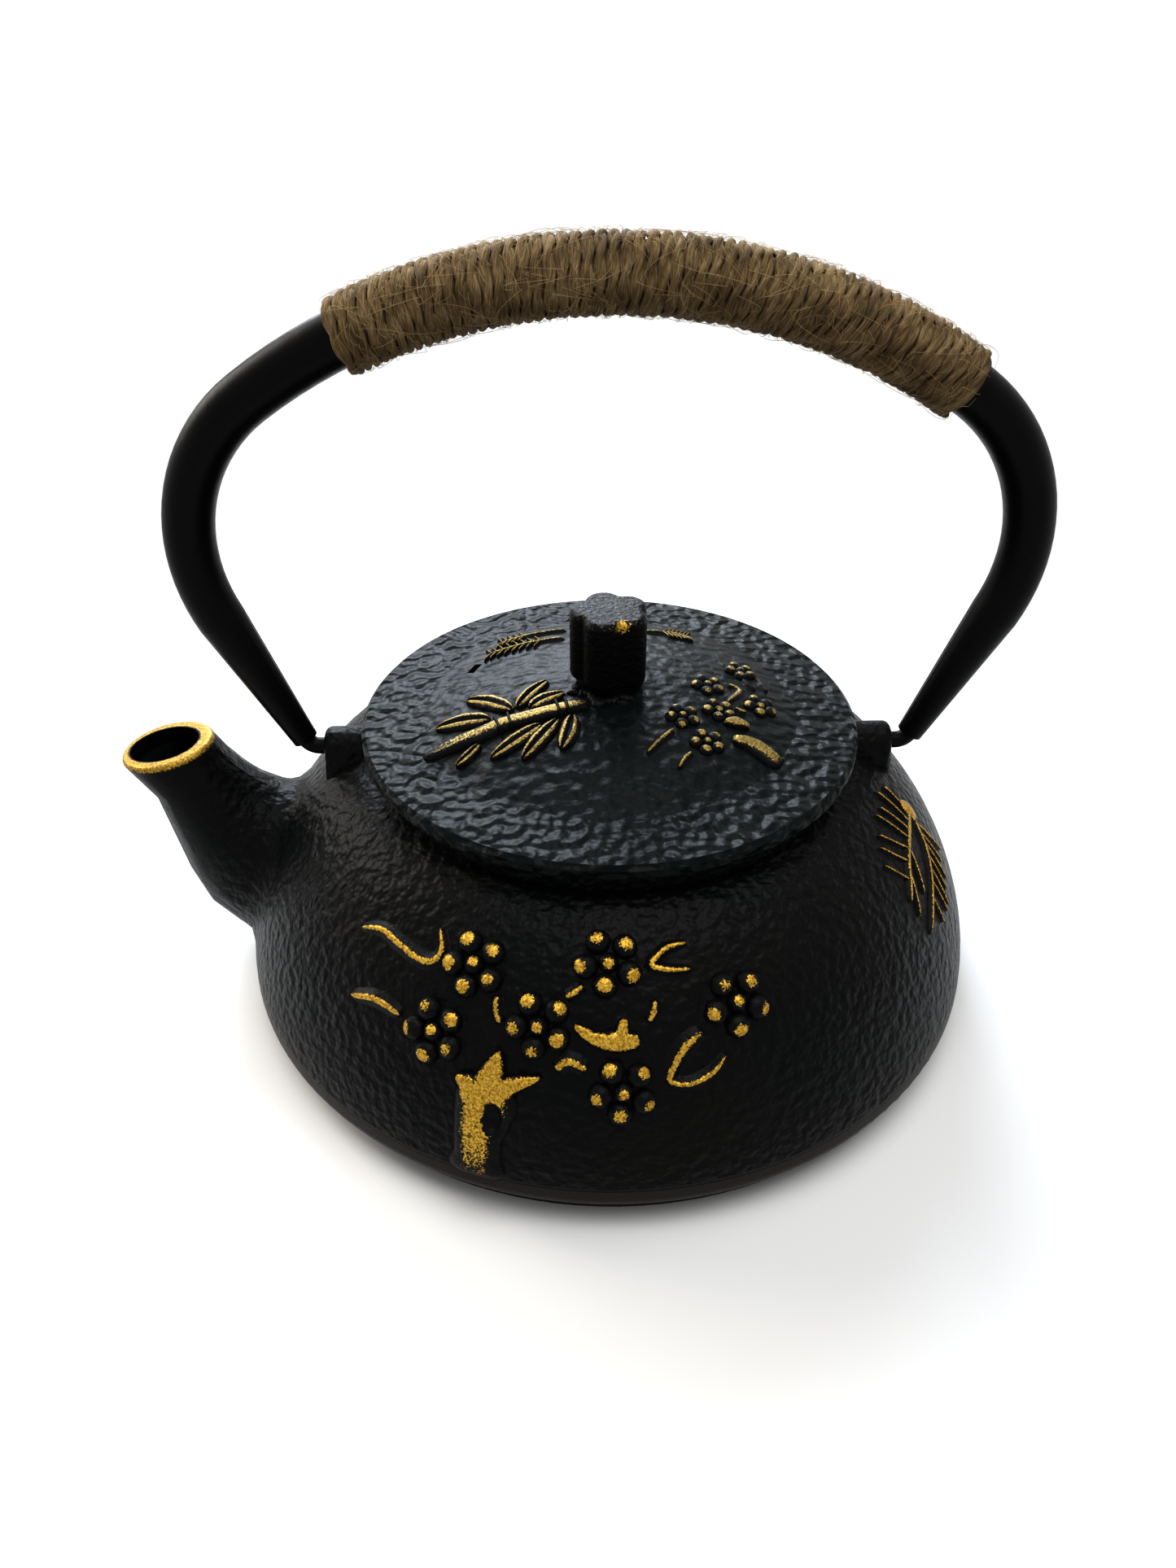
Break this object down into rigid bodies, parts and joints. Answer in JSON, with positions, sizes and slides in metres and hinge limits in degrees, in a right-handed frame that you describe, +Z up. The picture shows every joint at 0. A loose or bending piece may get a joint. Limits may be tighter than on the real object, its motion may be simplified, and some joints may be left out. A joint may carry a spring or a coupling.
{
  "type": "cast iron teapot",
  "caption": "Squat cast iron teapot with relief, a lift-off lid with a lobed knob, a hollow bail handle wound with jute, a raised spout and a lift-out strainer.",
  "frame": {"origin": "centre of the flat foot, on the table", "axes": "+Z up, -X along the spout, the bail stands in the XZ plane"},
  "size_m": [0.19, 0.1636, 0.1553],
  "materials": {
    "iron": "matt black cast iron with gilded relief",
    "lid_iron": "satin black cast iron with hammered flange",
    "bail_paint": "satin black paint",
    "jute": "rough natural jute twine",
    "steel": "brushed stainless steel"
  },
  "bodies": {
    "pot": {"pot_body": "iron"},
    "strainer": {"infuser_rim": "steel", "infuser_basket": "steel", "infuser_base": "steel"},
    "lid": {"lid": "lid_iron", "lid_knob": "lid_iron", "knob_rivet": "steel"},
    "bail": {"bail_tube": "bail_paint", "bail_pin_left": "bail_paint", "bail_pin_right": "bail_paint", "jute_core": "jute", "jute_strand": "jute"}
  },
  "joints": [
    {"name": "bail_swing", "type": "hinge", "parent": "pot", "child": "bail", "pos_m": [0, 0, 0.0536], "axis": [1, 0, 0], "range_deg": [-100, 100]},
    {"name": "strainer_lift", "type": "slide", "parent": "pot", "child": "strainer", "axis": [0, 0, 1], "range_m": [0, 0.046]},
    {"name": "lid_lift", "type": "slide", "parent": "strainer", "child": "lid", "axis": [0, 0, 1], "range_m": [0, 0.046]}
  ]
}
